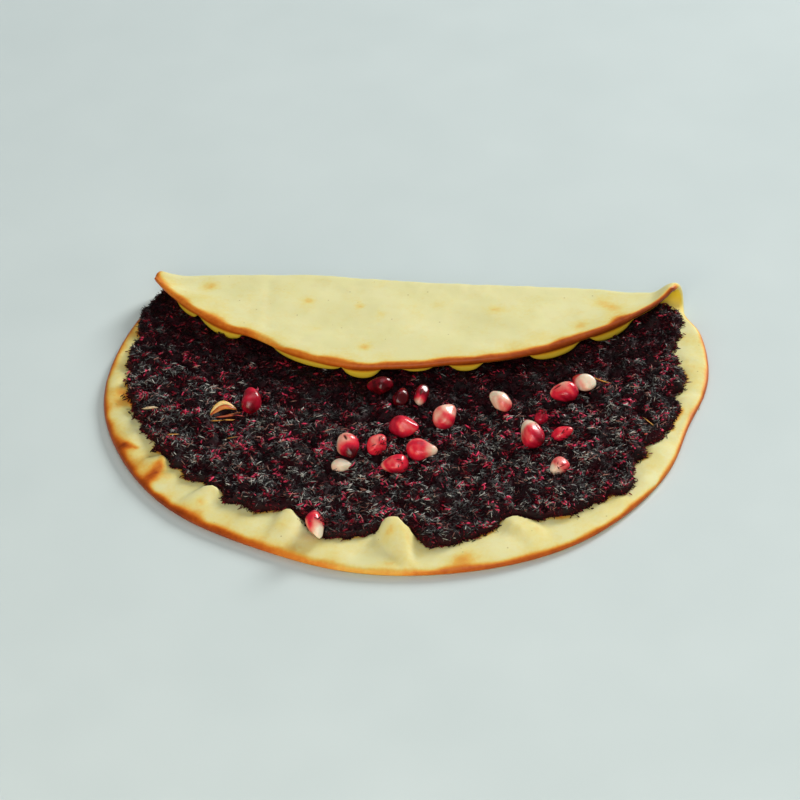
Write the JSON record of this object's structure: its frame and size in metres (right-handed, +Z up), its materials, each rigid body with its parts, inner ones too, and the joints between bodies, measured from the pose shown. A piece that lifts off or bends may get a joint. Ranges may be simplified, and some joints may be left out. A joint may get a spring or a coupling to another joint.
{
  "type": "folded manakish",
  "caption": "Thin round flatbread folded part-way over a dark chopped filling, with pomegranate seeds scattered on top.",
  "frame": {"origin": "on the flat underside, at the middle of the bottom round", "axes": "+X along the fold, +Y from the front rim towards the fold, +Z up"},
  "size_m": [0.2409, 0.1767, 0.0157],
  "materials": {
    "bread": "baked dough, pale with a browned rim",
    "filling": "cooked chopped leaves, almost black",
    "pomegranate": "wet, translucent red to cream",
    "onion": "fried onion, orange-yellow"
  },
  "bodies": {
    "root": {"bread": "bread", "filling": "filling", "pomegranate_seed_01": "pomegranate", "pomegranate_seed_02": "pomegranate", "pomegranate_seed_03": "pomegranate", "pomegranate_seed_04": "pomegranate", "pomegranate_seed_05": "pomegranate", "pomegranate_seed_06": "pomegranate", "pomegranate_seed_07": "pomegranate", "pomegranate_seed_08": "pomegranate", "pomegranate_seed_09": "pomegranate", "pomegranate_seed_10": "pomegranate", "pomegranate_seed_11": "pomegranate", "pomegranate_seed_12": "pomegranate", "pomegranate_seed_13": "pomegranate", "pomegranate_seed_14": "pomegranate", "pomegranate_seed_15": "pomegranate", "pomegranate_seed_16": "pomegranate", "pomegranate_seed_17": "pomegranate", "pomegranate_seed_18": "pomegranate", "pomegranate_seed_19": "pomegranate", "onion_flake": "onion"}
  },
  "joints": []
}
